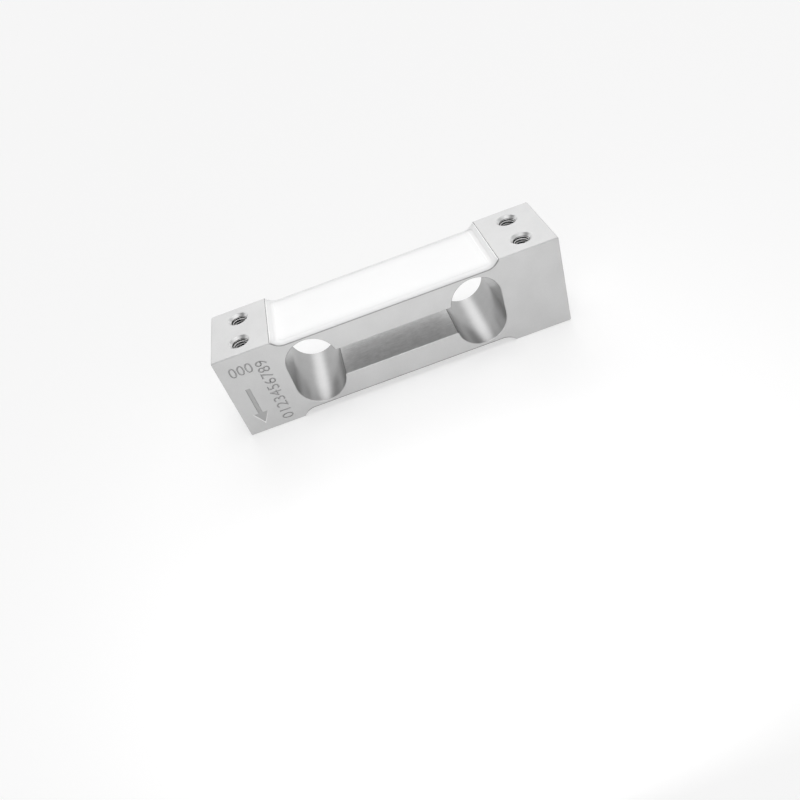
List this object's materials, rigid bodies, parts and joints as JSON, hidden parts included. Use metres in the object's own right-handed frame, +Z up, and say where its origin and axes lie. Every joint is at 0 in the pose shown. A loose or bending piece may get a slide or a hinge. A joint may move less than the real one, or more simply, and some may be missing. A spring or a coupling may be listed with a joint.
{
  "type": "single point load cell",
  "caption": "Single point load cell: aluminium bar with raised tapped end pads, obround flexure bores joined by a channel, and white silicone over the bonded strain gauges.",
  "frame": {"origin": "middle of the base plane that the two end pads stand on, under the centre of the beam", "axes": "+X along the beam from the live end to the fixed end, +Y from the marked front face to the back face, +Z up, against the load"},
  "size_m": [0.13, 0.033, 0.036],
  "materials": {
    "machined_aluminium": "satin",
    "white_silicone": "satin",
    "gauge_film": "gloss",
    "gauge_foil": "satin",
    "copper": "satin",
    "lead_red": "gloss",
    "lead_white": "gloss",
    "lead_black": "gloss",
    "circuit_board": "matte",
    "resistor": "matte"
  },
  "bodies": {
    "root": {"bottom_cover": "white_silicone", "bottom_lead_1": "lead_red", "bottom_lead_2": "lead_white", "bottom_lead_3": "lead_black", "bottom_left_gauge_carrier": "gauge_film", "bottom_left_gauge_grid": "gauge_foil", "bottom_left_gauge_wire_1": "copper", "bottom_left_gauge_wire_2": "copper", "bottom_right_gauge_carrier": "gauge_film", "bottom_right_gauge_grid": "gauge_foil", "bottom_right_gauge_wire_1": "copper", "bottom_right_gauge_wire_2": "copper", "bottom_terminal_pads": "copper", "bottom_terminal_strip": "gauge_film", "compensation_board": "circuit_board", "input_resistor": "resistor", "pocket_potting": "white_silicone", "span_resistor_1": "resistor", "span_resistor_2": "resistor", "spring_element": "machined_aluminium", "top_cover": "white_silicone", "top_lead_1": "lead_red", "top_lead_2": "lead_white", "top_lead_3": "lead_black", "top_left_gauge_carrier": "gauge_film", "top_left_gauge_grid": "gauge_foil", "top_left_gauge_wire_1": "copper", "top_left_gauge_wire_2": "copper", "top_right_gauge_carrier": "gauge_film", "top_right_gauge_grid": "gauge_foil", "top_right_gauge_wire_1": "copper", "top_right_gauge_wire_2": "copper", "top_terminal_pads": "copper", "top_terminal_strip": "gauge_film", "zero_resistor": "resistor"}
  },
  "joints": []
}
